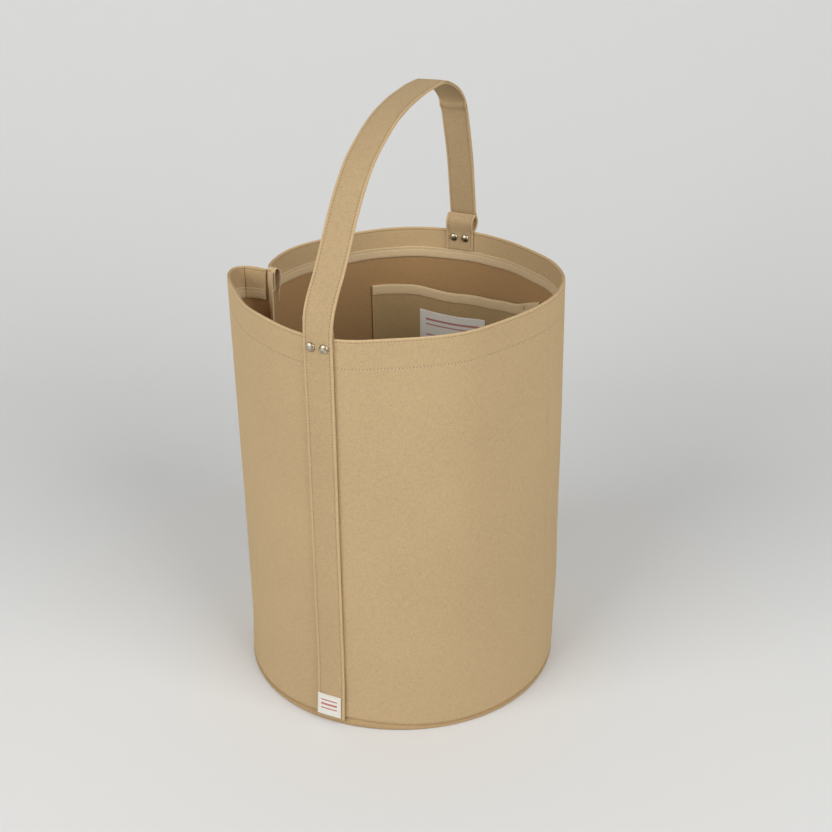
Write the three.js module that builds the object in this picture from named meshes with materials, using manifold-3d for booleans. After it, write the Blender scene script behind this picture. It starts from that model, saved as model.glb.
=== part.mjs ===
// Canvas bucket bag with one carry handle, in millimetres, +Z up.
// The origin is the centre of the base's underside. The front strap is on the -Y side,
// the back strap on the +Y side, and the two side seams are at -X (left) and +X (right).
import * as THREE from 'three';
import { mergeVertices } from 'three/addons/utils/BufferGeometryUtils.js';
import Module from 'manifold-3d';

const wasm = await Module();
wasm.setup();

// ---- Driving dimensions -------------------------------------------------------------
const BASE_RADIUS = 163;
const RIM_HEIGHT = 418;
const CLOTH = 1.2; // one layer of heavy canvas
const GAP = 0.3; // clearance between touching layers
const LAYER = CLOTH + GAP;
const GIRTH = 2 * Math.PI * BASE_RADIUS;

const BASE_TURN_UP = 6; // height of the base's turned-up edge
const BASE_CORNER = 5; // radius of the base's soft corner
const WALL_BOTTOM = BASE_TURN_UP + GAP;
const INNER_DROP = 0.4; // the inner layers stop this far below the rim

const FACING_DEPTH = 32; // facing inside the rim
const TAPE_TOP = 21.5; // top of the facing's bound edge, below the rim
const FACING_JOIN = 27; // the facing is pieced together this far from the left seam

const STRAP_WIDTH = 29;
const HANDLE_PIVOT = RIM_HEIGHT + 18; // where the stiff strap flexes as the handle swings
const HANDLE_END = STRAP_WIDTH / 2; // half-round ends about the pivot
const JAW_TOP = HANDLE_PIVOT + 10; // top of the strap outside the handle's end
const TAB_WIDTH = 30;
const TAB_BOTTOM = RIM_HEIGHT - TAPE_TOP + INNER_DROP;
const TAB_TAPER = 0.8; // share of the width left at the tab's turned-in top
const TAB_TAPER_LENGTH = 2;

const RIVET_SPACING = 13;
const RIVET_FRONT = RIM_HEIGHT - 9;
const RIVET_BACK = RIM_HEIGHT - 7.5;
const RIVET_CAP_RADIUS = 4.4;
const RIVET_CAP_HEIGHT = 2;
const RIVET_POST_RADIUS = 1.8;
const RIVET_HOLE_RADIUS = 2.4;
const RIVET_DRILL_LENGTH = 30;
const RIVET_FLANGE = 0.5; // height of the cap's straight edge, below its dome

const FIN_DEPTH = 8; // left seam allowance, bound with tape, standing inwards
const FIN_THICKNESS = 2.4;
const FIN_ROOT = 1.9; // clears the two panels where they meet in the seam's crease
const TAPE_WIDTH = 12;

const POCKET_FROM = 124; // pocket's edges, in degrees round the bag from +X
const POCKET_TO = 48;
const POCKET_TOP = 354;
const POCKET_BOTTOM = 204;
const POCKET_SAG = 13; // how far the mouth hangs off the wall
const POCKET_TAPE = 10.5;
const POCKET_TAPE_PLY = 0.9;

const LABEL_CLOTH = 0.5;
const LABEL_GAP = 0.05;
const POCKET_LABEL = { from: 105.5, width: 86, top: 328, height: 45 };
const STRAP_LABEL = { width: 25.7, bottom: 10, height: 24 };

// The rim's outline, from the left seam round the front, and from the right seam round
// the back. The wall is pinched inwards at the left seam and is fullest at the front strap.
const FRONT_RIM = [
  [-126, -35.5], [-138, -34], [-150, -35], [-159.5, -42], [-159.5, -55], [-149.5, -74],
  [-125, -102.5], [-97, -131.5], [-62, -153], [-30, -168], [0, -174], [28, -170],
  [58, -153.5], [88, -134], [112.5, -110.5], [131.5, -75], [146, -38], [153, -8],
];
const BACK_RIM = [
  [153, -8], [154, 22], [146, 60], [124, 96], [95, 121], [60, 143], [22, 156.5],
  [-19, 158], [-52, 149], [-80, 130], [-107, 98], [-127, 63], [-137, 36], [-139, 8],
  [-134.5, -20], [-126, -35.5],
];

// ---- The wall's surface -------------------------------------------------------------
const rimCurve = (points) => {
  const curve = new THREE.SplineCurve(points.map(([x, y]) => new THREE.Vector2(x, y)));
  curve.arcLengthDivisions = 1200;
  return curve;
};
const halves = [FRONT_RIM, BACK_RIM].map(rimCurve);

// Fraction of a half's length at which it crosses the strap's centre line, x = 0.
function strapFraction(curve) {
  let low = 0.3;
  let high = 0.7;
  const startsLeft = curve.getPointAt(low).x < 0;
  for (let i = 0; i < 30; i += 1) {
    const middle = (low + high) / 2;
    if (curve.getPointAt(middle).x < 0 === startsLeft) low = middle;
    else high = middle;
  }
  return low;
}
const strapFractions = halves.map(strapFraction);

// u runs once round the bag: 0 left seam, 0.25 front strap, 0.5 right seam, 0.75 back strap.
function rimPoint(u) {
  const back = u >= 0.5 ? 1 : 0;
  const along = Math.min(1, Math.max(0, (u - back / 2) * 2));
  const split = strapFractions[back];
  const fraction = along < 0.5 ? along * 2 * split : split + (along - 0.5) * 2 * (1 - split);
  return halves[back].getPointAt(fraction);
}

function wallOutline(u, z) {
  const angle = Math.PI * (1 + 2 * u);
  const base = new THREE.Vector2(Math.cos(angle), Math.sin(angle)).multiplyScalar(BASE_RADIUS);
  return base.lerp(rimPoint(u), Math.min(1, z / RIM_HEIGHT));
}

const TANGENT_STEP = 0.0008;

// Outward horizontal normal, taken inside one half so that the left seam keeps its crease.
function wallNormal(u, z) {
  const low = u >= 0.5 ? 0.5 : 0;
  const from = Math.max(low, u - TANGENT_STEP);
  const to = Math.min(low + 0.49999, u + TANGENT_STEP);
  const tangent = wallOutline(to, z).sub(wallOutline(from, z)).normalize();
  return new THREE.Vector2(tangent.y, -tangent.x);
}

// Point on the wall: u round it, z up, n outwards from the wall's outer face.
function wall(u, z, n) {
  const p = wallOutline(u, z).addScaledVector(wallNormal(u, z), n);
  return new THREE.Vector3(p.x, p.y, z);
}

// ---- Solids -------------------------------------------------------------------------
// Carries a cross-section along a list of stations. The section's points are [n, v], and
// place(station, v, n) says where each one goes, so a flat pattern piece bends to its place.
function strip(section, stations, place) {
  const shape = new THREE.Shape(section.map(([n, v]) => new THREE.Vector2(n, v)));
  const steps = stations.length - 1;
  let body = new THREE.ExtrudeGeometry(shape, { depth: steps, steps, bevelEnabled: false });
  body.deleteAttribute('normal');
  body.deleteAttribute('uv');
  body = mergeVertices(body, 1e-4);
  const position = body.getAttribute('position');
  for (let i = 0; i < position.count; i += 1) {
    const station = stations[Math.round(position.getZ(i))];
    const p = place(station, position.getY(i), position.getX(i));
    position.setXYZ(i, p.x, p.y, p.z);
  }
  return outward(body);
}

function signedVolume(geometry) {
  const position = geometry.getAttribute('position');
  const index = geometry.getIndex().array;
  const [a, b, c] = [new THREE.Vector3(), new THREE.Vector3(), new THREE.Vector3()];
  let volume = 0;
  for (let i = 0; i < index.length; i += 3) {
    a.fromBufferAttribute(position, index[i]);
    b.fromBufferAttribute(position, index[i + 1]);
    c.fromBufferAttribute(position, index[i + 2]);
    volume += a.dot(b.cross(c)) / 6;
  }
  return volume;
}

// Turns a body's faces round when a mirrored placement has left them pointing inwards.
function outward(geometry) {
  if (signedVolume(geometry) < 0) {
    const index = geometry.getIndex().array;
    for (let i = 0; i < index.length; i += 3) {
      [index[i], index[i + 1]] = [index[i + 1], index[i]];
    }
  }
  return geometry;
}

function toSolid(geometry) {
  return new wasm.Manifold(new wasm.Mesh({
    numProp: 3,
    vertProperties: new Float32Array(geometry.getAttribute('position').array),
    triVerts: new Uint32Array(geometry.getIndex().array),
  }));
}

function toGeometry(solid) {
  const mesh = solid.getMesh();
  const geometry = new THREE.BufferGeometry();
  geometry.setAttribute('position', new THREE.BufferAttribute(mesh.vertProperties, 3));
  geometry.setIndex(new THREE.BufferAttribute(mesh.triVerts, 1));
  return geometry;
}

function turned(profile, segments) {
  const points = profile.map(([r, z]) => new THREE.Vector2(r, z));
  const body = new THREE.LatheGeometry(points, segments);
  body.deleteAttribute('normal');
  body.deleteAttribute('uv');
  const merged = mergeVertices(body, 1e-4).rotateX(Math.PI / 2);
  return outward(merged);
}

// A rectangle from n0 to n1 through the cloth and along v, with points at each listed v.
function layerSection(n0, n1, heights) {
  const up = heights.map((v) => [n1, v]);
  const down = [...heights].reverse().map((v) => [n0, v]);
  return [...up, ...down];
}

// Stations round the wall: close together in the tight fold beside the left seam.
function wallStations(from, to) {
  const zones = [[0, 0.012, 3], [0.012, 0.07, 14], [0.07, 0.96, 62], [0.96, 1, 5]];
  const grid = zones.flatMap(([a, b, count]) => (
    Array.from({ length: count }, (_, i) => a + ((b - a) * i) / count)
  ));
  const inside = grid.filter((u) => u > from + 0.001 && u < to - 0.001);
  return [from, ...inside, to];
}

const range = (from, to, count) => (
  Array.from({ length: count + 1 }, (_, i) => from + ((to - from) * i) / count)
);
const degreesToU = (degrees) => (degrees / 360 + 0.5) % 1;
const alongGirth = (mm) => mm / GIRTH;

// ---- Rivets -------------------------------------------------------------------------
const OUTER_FACE = GAP + LAYER + CLOTH; // strap's outer face, from the wall's
const INNER_FACE = -(2 * LAYER + CLOTH) - GAP; // tab's inner face
const RIVET_CLEARANCE = 0.25;

const rivetSites = [
  { name: 'front_left', x: -RIVET_SPACING / 2, u: 0.25, z: RIVET_FRONT },
  { name: 'front_right', x: RIVET_SPACING / 2, u: 0.25, z: RIVET_FRONT },
  { name: 'back_left', x: -RIVET_SPACING / 2, u: 0.75, z: RIVET_BACK },
  { name: 'back_right', x: RIVET_SPACING / 2, u: 0.75, z: RIVET_BACK },
].map((site) => ({ ...site, outwards: site.u < 0.5 ? -1 : 1 }));

// Distance outwards, along Y, of a layer's face at points under a rivet's cap.
function faceUnderCap(site, n) {
  const reach = [-RIVET_CAP_RADIUS, 0, RIVET_CAP_RADIUS];
  const samples = reach.flatMap((dx) => reach.map((dz) => (
    wall(site.u + alongGirth((site.x + dx) * -site.outwards), site.z + dz, n).y * site.outwards
  )));
  return { nearest: Math.min(...samples), farthest: Math.max(...samples) };
}

// Lays a body turned about +Z along a rivet's line, so that its Z is the distance outwards.
function atRivet(geometry, site) {
  return outward(geometry
    .rotateX(site.outwards > 0 ? -Math.PI / 2 : Math.PI / 2)
    .translate(site.x, 0, site.z));
}

// A domed cap from its rim to its crown; side is 1 outside the bag and -1 inside it.
function dome(face, side) {
  const arc = range(0, Math.PI / 2, 3).slice(0, -1).map((a) => [
    RIVET_CAP_RADIUS * Math.cos(a),
    face + side * (RIVET_FLANGE + (RIVET_CAP_HEIGHT - RIVET_FLANGE) * Math.sin(a)),
  ]);
  return [[RIVET_CAP_RADIUS, face], ...arc, [0, face + side * RIVET_CAP_HEIGHT]];
}

function rivetCap(site) {
  const face = faceUnderCap(site, OUTER_FACE).farthest + RIVET_CLEARANCE;
  const postEnd = faceUnderCap(site, INNER_FACE).nearest - RIVET_CLEARANCE - 0.6;
  const post = [[0, postEnd], [RIVET_POST_RADIUS, postEnd], [RIVET_POST_RADIUS, face]];
  return atRivet(turned([...post, ...dome(face, 1)], 12), site);
}

function rivetBase(site) {
  const face = faceUnderCap(site, INNER_FACE).nearest - RIVET_CLEARANCE;
  const socket = RIVET_POST_RADIUS + GAP;
  const hollow = [[0, face - 1], [socket, face - 1], [socket, face]];
  return atRivet(turned([...hollow, ...dome(face, -1)], 12), site);
}

// Cuts the rivet holes of one end through a layer of cloth.
function punched(geometry, u) {
  let solid = toSolid(geometry);
  for (const site of rivetSites.filter((s) => s.u === u)) {
    const drill = new THREE.CylinderGeometry(
      RIVET_HOLE_RADIUS, RIVET_HOLE_RADIUS, RIVET_DRILL_LENGTH, 12,
    );
    drill.deleteAttribute('normal');
    drill.deleteAttribute('uv');
    const y = wallOutline(u, site.z).y;
    const pin = mergeVertices(drill, 1e-4).translate(site.x, y, site.z);
    solid = solid.subtract(toSolid(pin));
  }
  return toGeometry(solid);
}

// ---- Body, facing and their bindings ------------------------------------------------
const SEAM_GAP = alongGirth(0.2);
const WALL_ROWS = [WALL_BOTTOM, 110, 210, 300, 350, RIM_HEIGHT - FACING_DEPTH, RIM_HEIGHT];

function bodyPanel(from, to, u) {
  const section = layerSection(-CLOTH, 0, WALL_ROWS);
  return punched(strip(section, wallStations(from + SEAM_GAP, to - SEAM_GAP), wall), u);
}

const FACING_ROWS = [RIM_HEIGHT - FACING_DEPTH, RIM_HEIGHT - INNER_DROP];
const facingStrip = (from, to) => (
  strip(layerSection(-LAYER - CLOTH, -LAYER, FACING_ROWS), wallStations(from, to), wall)
);

// The bound edge is an L: a leg on the facing's inner side and a foot under its edge.
function facingBinding(from, to) {
  const bottom = RIM_HEIGHT - FACING_DEPTH - LAYER;
  const foot = RIM_HEIGHT - FACING_DEPTH - GAP;
  const section = [
    [-LAYER, bottom], [-LAYER, foot], [-2 * LAYER, foot],
    [-2 * LAYER, RIM_HEIGHT - TAPE_TOP], [-2 * LAYER - CLOTH, RIM_HEIGHT - TAPE_TOP],
    [-2 * LAYER - CLOTH, bottom],
  ];
  return strip(section, wallStations(from, to), wall);
}

const join = alongGirth(FACING_JOIN);
const facingEnds = {
  long: [join + SEAM_GAP, 1 - alongGirth(CLOTH)],
  short: [alongGirth(CLOTH), join - SEAM_GAP],
};

// ---- Base ---------------------------------------------------------------------------
const corner = (radius) => range(-Math.PI / 2, 0, 3).map((a) => [
  BASE_RADIUS - BASE_CORNER + radius * Math.cos(a), BASE_CORNER + radius * Math.sin(a),
]);

function basePanel() {
  const outer = corner(BASE_CORNER);
  const inner = corner(BASE_CORNER - CLOTH).reverse();
  const profile = [
    [0, 0], ...outer, [BASE_RADIUS, BASE_TURN_UP],
    [BASE_RADIUS - CLOTH, BASE_TURN_UP], ...inner, [0, CLOTH],
  ];
  return turned(profile, 60);
}

function baseLining() {
  const radius = BASE_RADIUS - BASE_CORNER - 1;
  return turned([[0, LAYER], [radius, LAYER], [radius, LAYER + CLOTH], [0, LAYER + CLOTH]], 60);
}

// Tape round the base seam's allowance, which stands up inside the wall.
function baseSeamBinding() {
  const [low, high] = [WALL_BOTTOM, WALL_BOTTOM + TAPE_WIDTH - 2];
  const section = layerSection(-LAYER - FIN_THICKNESS, -LAYER, [low, high]);
  return strip(section, wallStations(SEAM_GAP, 1 - SEAM_GAP), wall);
}

// ---- Side seams ---------------------------------------------------------------------
// The left seam's bound allowance stands inwards as a fin, halfway between the two walls.
function leftSeamBinding() {
  const section = layerSection(
    -FIN_THICKNESS / 2, FIN_THICKNESS / 2, [FIN_ROOT, FIN_ROOT + FIN_DEPTH],
  );
  const place = (z, depth, across) => {
    const seam = wallOutline(0, z);
    const inwards = wallNormal(0, z).add(wallNormal(0.99999, z)).normalize().negate();
    const p = seam.addScaledVector(inwards, depth);
    return new THREE.Vector3(p.x - inwards.y * across, p.y + inwards.x * across, z);
  };
  return strip(section, range(BASE_CORNER + TAPE_WIDTH, RIM_HEIGHT - INNER_DROP, 14), place);
}

// The right seam's bound allowance lies flat against the wall, below the facing.
function rightSeamBinding() {
  const half = alongGirth(TAPE_WIDTH / 2);
  const section = layerSection(-LAYER - FIN_THICKNESS, -LAYER, [0.5 - half, 0.5, 0.5 + half]);
  const rows = range(BASE_CORNER + TAPE_WIDTH, RIM_HEIGHT - FACING_DEPTH - 2, 8);
  return strip(section, rows, (z, u, n) => wall(u, z, n));
}

// ---- Straps, handle and tabs --------------------------------------------------------
// How far the strap stands off the wall at each height: it leaves the wall above the
// rivets, and its top forms the outer jaw round the handle's end.
const STAND_OFF = {
  front: [[WALL_BOTTOM, 0], [413, 0], [420, 4.8], [JAW_TOP, 4.8]],
  back: [
    [WALL_BOTTOM, 0], [415, 0], [419.5, 8.6], [425, 11.2], [432, 11.2], [439, 9.6],
    [JAW_TOP, 9.6],
  ],
};

function valueAt(table, z) {
  const next = table.findIndex(([height]) => height >= z);
  if (next <= 0) return table[next < 0 ? table.length - 1 : 0][1];
  const [[z0, v0], [z1, v1]] = [table[next - 1], table[next]];
  return v0 + ((v1 - v0) * (z - z0)) / (z1 - z0);
}

function strapPly(side, ply) {
  const u = side === 'front' ? 0.25 : 0.75;
  const half = alongGirth(STRAP_WIDTH / 2);
  const n0 = GAP + ply * LAYER;
  const section = layerSection(n0, n0 + CLOTH, range(u - half, u + half, 2));
  const heights = [...range(WALL_BOTTOM, 400, 6), ...STAND_OFF[side].slice(1).map(([z]) => z)];
  const place = (z, round, n) => wall(round, z, n + valueAt(STAND_OFF[side], z));
  return punched(strip(section, heights, place), u);
}

const TAB_LEAN = {
  front: [[TAB_BOTTOM, 0], [417, 0], [424.5, 2.7], [434, 2.7]],
  back: [[TAB_BOTTOM, 0], [417, 0], [428, 0.7], [433, 2.8], [436.5, 6.2]],
};

function tab(side) {
  const u = side === 'front' ? 0.25 : 0.75;
  const half = alongGirth(TAB_WIDTH / 2);
  const lean = TAB_LEAN[side];
  const top = lean[lean.length - 1][0];
  const section = layerSection(-2 * LAYER - CLOTH - GAP, -2 * LAYER - GAP, range(-half, half, 2));
  const heights = [TAB_BOTTOM, 404, 411, ...lean.slice(1, -1).map(([z]) => z),
    top - TAB_TAPER_LENGTH, top];
  const place = (z, across, n) => {
    const narrowing = z > top - TAB_TAPER_LENGTH ? TAB_TAPER : 1;
    return wall(u + across * narrowing, z, n + valueAt(lean, z));
  };
  return punched(strip(section, heights, place), u);
}

// The handle's line in the plane x = 0: up from the front, over, and down at the back.
const HANDLE_FRONT_Y = wallOutline(0.25, RIM_HEIGHT).y - GAP - CLOTH - GAP / 2;
const HANDLE_BACK_Y = wallOutline(0.75, RIM_HEIGHT).y + 6.8;
const HANDLE_ARCH = [
  [-170, 462], [-150, 482], [-121, 513], [-87, 546], [-45, 569], [0, 581], [45, 588],
  [80, 586], [110, 576], [128, 562], [138, 538], [150, 505], [159.5, 473],
];
const handleLine = new THREE.SplineCurve([
  [HANDLE_FRONT_Y, HANDLE_PIVOT - HANDLE_END], [HANDLE_FRONT_Y, HANDLE_PIVOT],
  [HANDLE_FRONT_Y, HANDLE_PIVOT + HANDLE_END], ...HANDLE_ARCH,
  [HANDLE_BACK_Y - 0.3, HANDLE_PIVOT + HANDLE_END], [HANDLE_BACK_Y, HANDLE_PIVOT],
  [HANDLE_BACK_Y, HANDLE_PIVOT - HANDLE_END],
].map(([y, z]) => new THREE.Vector2(y, z)));
handleLine.arcLengthDivisions = 1200;

function handlePly(n0, n1) {
  const length = handleLine.getLength();
  const half = STRAP_WIDTH / 2;
  const ends = [0, 1.2, 4, 8, HANDLE_END];
  const stations = [
    ...ends, ...range(HANDLE_END, length - HANDLE_END, 40).slice(1, -1),
    ...ends.map((s) => length - s).reverse(),
  ];
  const halfWidth = (s) => {
    const fromEnd = Math.min(s, length - s);
    if (fromEnd >= HANDLE_END) return 1;
    const reach = HANDLE_END - Math.max(0.6, fromEnd);
    return Math.sqrt(HANDLE_END ** 2 - reach ** 2) / HANDLE_END;
  };
  const place = (s, x, n) => {
    const at = handleLine.getPointAt(s / length);
    const along = handleLine.getTangentAt(s / length);
    return new THREE.Vector3(x * halfWidth(s), at.x - along.y * n, at.y + along.x * n);
  };
  return strip(layerSection(n0, n1, [-half, half]), stations, place);
}

// ---- Pocket and labels --------------------------------------------------------------
const pocketU = [degreesToU(POCKET_TO), degreesToU(POCKET_FROM)];

// The pocket hangs off the wall most at the middle of its mouth, and lies on it elsewhere.
function pocketStandOff(u, z) {
  const across = (u - pocketU[0]) / (pocketU[1] - pocketU[0]);
  const up = Math.max(0, (z - POCKET_BOTTOM) / (POCKET_TOP - POCKET_BOTTOM));
  const belly = Math.max(0, Math.sin(Math.PI * across)) ** 0.8;
  return POCKET_SAG * belly * Math.sin((Math.PI / 2) * up);
}
const pocketSurface = (u, z, n) => wall(u, z, n - LAYER - CLOTH - pocketStandOff(u, z));
const pocketStations = range(...pocketU, 24);

function pocketPanel() {
  const rows = range(POCKET_BOTTOM, POCKET_TOP - CLOTH - GAP, 5);
  return strip(layerSection(0, CLOTH, rows), pocketStations, pocketSurface);
}

// Tape folded over the pocket's mouth: an upside-down U that the panel's edge sits in.
function pocketTopBinding() {
  const low = POCKET_TOP - POCKET_TAPE;
  const section = [
    [-LAYER, low], [-GAP, low], [-GAP, POCKET_TOP - CLOTH], [LAYER, POCKET_TOP - CLOTH],
    [LAYER, low], [LAYER + POCKET_TAPE_PLY, low], [LAYER + POCKET_TAPE_PLY, POCKET_TOP],
    [-LAYER, POCKET_TOP],
  ];
  return strip(section, pocketStations.slice(1, -1), pocketSurface);
}

function pocketLabel() {
  const left = degreesToU(POCKET_LABEL.from);
  const right = left - alongGirth(POCKET_LABEL.width);
  const rows = range(POCKET_LABEL.top - POCKET_LABEL.height, POCKET_LABEL.top, 3);
  const section = layerSection(-GAP - LABEL_CLOTH, -GAP - LABEL_GAP, rows);
  const middle = pocketStations.filter((u) => u > right + 0.001 && u < left - 0.001);
  return strip(section, [right, ...middle, left], pocketSurface);
}

function strapLabel() {
  const face = 2 * LAYER + GAP;
  const left = 0.25 - alongGirth(STRAP_WIDTH / 2);
  const rows = range(STRAP_LABEL.bottom, STRAP_LABEL.bottom + STRAP_LABEL.height, 2);
  const section = layerSection(face, face + LABEL_CLOTH, rows);
  return strip(section, range(left, left + alongGirth(STRAP_LABEL.width), 4), wall);
}

// ---- Materials and assembly ---------------------------------------------------------
const finish = (color, roughness, metalness = 0) => ({ color, roughness, metalness });
const CANVAS = finish('#b99f6f', 0.92);
const LINING = finish('#a08659', 0.94);
const TAPE = finish('#c2aa7c', 0.9);
const LABEL = finish('#e9e4d8', 0.8);
const METAL = finish('#a39680', 0.35, 0.9);

const bag = new THREE.Group();
const add = (name, geometry, look) => {
  geometry.computeVertexNormals();
  const mesh = new THREE.Mesh(geometry, new THREE.MeshStandardMaterial(look));
  mesh.name = name;
  bag.add(mesh);
};

add('body_panel_front', bodyPanel(0, 0.5, 0.25), CANVAS);
add('body_panel_back', bodyPanel(0.5, 1, 0.75), CANVAS);
add('facing_long', punched(punched(facingStrip(...facingEnds.long), 0.25), 0.75), LINING);
add('facing_short', facingStrip(...facingEnds.short), LINING);
add('facing_tape_long', facingBinding(...facingEnds.long), TAPE);
add('facing_tape_short', facingBinding(...facingEnds.short), TAPE);

add('base_panel', basePanel(), CANVAS);
add('base_lining', baseLining(), LINING);
add('base_seam_tape', baseSeamBinding(), TAPE);
add('left_seam_tape', leftSeamBinding(), TAPE);
add('right_seam_tape', rightSeamBinding(), TAPE);

for (const side of ['front', 'back']) {
  add(`${side}_strap_inner_ply`, strapPly(side, 0), CANVAS);
  add(`${side}_strap_outer_ply`, strapPly(side, 1), CANVAS);
  add(`${side}_tab`, tab(side), CANVAS);
}
add('handle_inner_ply', handlePly(-GAP / 2 - CLOTH, -GAP / 2), CANVAS);
add('handle_outer_ply', handlePly(GAP / 2, GAP / 2 + CLOTH), CANVAS);

for (const site of rivetSites) {
  add(`rivet_cap_${site.name}`, rivetCap(site), METAL);
  add(`rivet_base_${site.name}`, rivetBase(site), METAL);
}

add('pocket_panel', pocketPanel(), LINING);
add('pocket_mouth_tape', pocketTopBinding(), TAPE);
add('pocket_label', pocketLabel(), LABEL);
add('strap_label', strapLabel(), LABEL);

export default bag;
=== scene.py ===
# %% [markdown]
# # A canvas bucket bag with one carry handle
# The bag is a tube of heavy canvas on a round base, sewn up at two side seams. One long
# strap runs up the front, over as the handle, and down the back. A facing bound with tape
# backs the rim, two tabs and four rivets hold the strap, and a pocket hangs inside.
#
# A sewn thing is easiest to build the way it is sewn: each pattern piece is a flat grid
# of cloth first, in its own millimetres, and is then laid on the shape it takes. The
# flat size is kept as the piece's UV map, so the weave follows every bend.

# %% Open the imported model
import math

import bmesh
import bpy
import numpy as np
from mathutils import Matrix, Vector
from mathutils.geometry import interpolate_bezier


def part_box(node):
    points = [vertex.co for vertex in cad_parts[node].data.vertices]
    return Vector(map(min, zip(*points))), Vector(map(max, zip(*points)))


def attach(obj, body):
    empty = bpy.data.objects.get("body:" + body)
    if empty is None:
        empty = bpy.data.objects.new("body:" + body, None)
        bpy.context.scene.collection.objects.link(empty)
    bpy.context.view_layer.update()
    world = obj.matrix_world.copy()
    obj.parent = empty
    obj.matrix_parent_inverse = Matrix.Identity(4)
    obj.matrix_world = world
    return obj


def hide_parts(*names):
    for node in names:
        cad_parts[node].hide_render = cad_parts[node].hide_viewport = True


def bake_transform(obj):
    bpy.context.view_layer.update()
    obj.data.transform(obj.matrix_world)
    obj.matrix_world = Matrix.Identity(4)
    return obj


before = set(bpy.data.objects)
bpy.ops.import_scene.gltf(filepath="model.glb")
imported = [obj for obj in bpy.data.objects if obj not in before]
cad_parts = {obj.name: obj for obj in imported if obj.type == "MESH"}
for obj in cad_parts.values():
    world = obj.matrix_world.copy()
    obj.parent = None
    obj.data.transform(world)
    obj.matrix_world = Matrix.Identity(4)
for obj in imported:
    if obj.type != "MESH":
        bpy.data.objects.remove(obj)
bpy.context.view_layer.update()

# %% [markdown]
# ## Sizes
# Everything is worked out in millimetres, as on a paper pattern, and turned into metres
# when a mesh is made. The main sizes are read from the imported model, so that the looks
# always fit the parts that they stand for.

# %% Main sizes, in millimetres
MM = 0.001
BASE_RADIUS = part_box("base_panel")[1].x / MM
RIM_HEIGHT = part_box("body_panel_front")[1].z / MM
GIRTH = 2 * math.pi * BASE_RADIUS
CANVAS = 1.2
STRAP_WIDTH = (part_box("handle_outer_ply")[1].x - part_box("handle_outer_ply")[0].x) / MM
print(f"base radius {BASE_RADIUS:.1f}, rim {RIM_HEIGHT:.1f}, strap {STRAP_WIDTH:.1f} mm wide")

# %% [markdown]
# ## The wall's shape
# The base is a circle, but the soft rim is not: it is pinched in at the left seam and
# pulled out by the strap at the front. So the wall is a ruled surface between a circle
# and a free outline. Bezier pieces through the outline's points give a smooth rim, and
# walking along it by length keeps the cloth from stretching.

# %% The rim's outline and the wall between it and the base
FRONT_RIM = [
    (-126, -35.5), (-138, -34), (-150, -35), (-159.5, -42), (-159.5, -55), (-149.5, -74),
    (-125, -102.5), (-97, -131.5), (-62, -153), (-30, -168), (0, -174), (28, -170),
    (58, -153.5), (88, -134), (112.5, -110.5), (131.5, -75), (146, -38), (153, -8),
]
BACK_RIM = [
    (153, -8), (154, 22), (146, 60), (124, 96), (95, 121), (60, 143), (22, 156.5),
    (-19, 158), (-52, 149), (-80, 130), (-107, 98), (-127, 63), (-137, 36), (-139, 8),
    (-134.5, -20), (-126, -35.5),
]


def smooth_line(points, steps=24):
    """Points close together on a smooth line through the given ones."""
    knots = [Vector((*p, 0)) if len(p) == 2 else Vector(p) for p in points]
    line = []
    for i, (a, b) in enumerate(zip(knots, knots[1:])):
        before = knots[max(i - 1, 0)]
        after = knots[min(i + 2, len(knots) - 1)]
        piece = interpolate_bezier(a, a + (b - before) / 6, b - (after - a) / 6, b, steps + 1)
        line.extend(piece[:-1])
    return np.array(line + [knots[-1]])


def lengths_along(line):
    """The distance walked along a line at each of its points."""
    steps = np.linalg.norm(np.diff(line, axis=0), axis=1)
    return np.concatenate([[0], np.cumsum(steps)])


def half_rim(points):
    """One half of the rim: its line, and the walk along it, which is 0.5 at the strap."""
    line = smooth_line(points)
    walk = lengths_along(line)
    walk /= walk[-1]
    turn = int(np.argmax(line[:-1, 0] * line[1:, 0] <= 0))
    at_strap = walk[turn]
    share = np.interp(walk, [0, at_strap, 1], [0, 0.5, 1])
    return line[:, :2], share


FRONT_HALF = half_rim(FRONT_RIM)
BACK_HALF = half_rim(BACK_RIM)


def rim_point(u):
    point = np.zeros((len(u), 2))
    for back, (line, share) in enumerate([FRONT_HALF, BACK_HALF]):
        here = (u >= 0.5) == bool(back)
        along = np.clip((u[here] - back / 2) * 2, 0, 1)
        point[here, 0] = np.interp(along, share, line[:, 0])
        point[here, 1] = np.interp(along, share, line[:, 1])
    return point


def outline(u, z):
    """The wall seen from above at height z; u runs once round from the left seam."""
    angle = np.pi * (1 + 2 * u)
    base = BASE_RADIUS * np.column_stack([np.cos(angle), np.sin(angle)])
    rise = np.clip(z / RIM_HEIGHT, 0, 1)[:, None]
    return base * (1 - rise) + rim_point(u) * rise


def spread(u):
    """How far the foot of the wall stands out past the base's circle."""
    front = 4.0 * np.exp(-(((u - 0.2) / 0.11) ** 2))
    return 0.3 + front + 1.5 * np.exp(-(((u - 0.42) / 0.08) ** 2))


def slack(u, z):
    """The slow waves that stiff canvas takes when it stands by itself."""
    belly = np.sin(np.pi * np.clip(z / RIM_HEIGHT, 0, 1))
    broad = 0.5 * np.sin(2 * np.pi * 3 * u + 1.3) + 0.3 * np.sin(2 * np.pi * 7 * u + z / 90)
    right_side = 2.2 * np.exp(-(((u - 0.565) / 0.1) ** 2))
    low_right = 2.0 * np.exp(-(((u - 0.58) / 0.1) ** 2)) * np.exp(-(((z - 80) / 60) ** 2))
    return (broad + right_side) * belly + low_right + spread(u) * np.exp(-((z / 24) ** 2))


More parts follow.
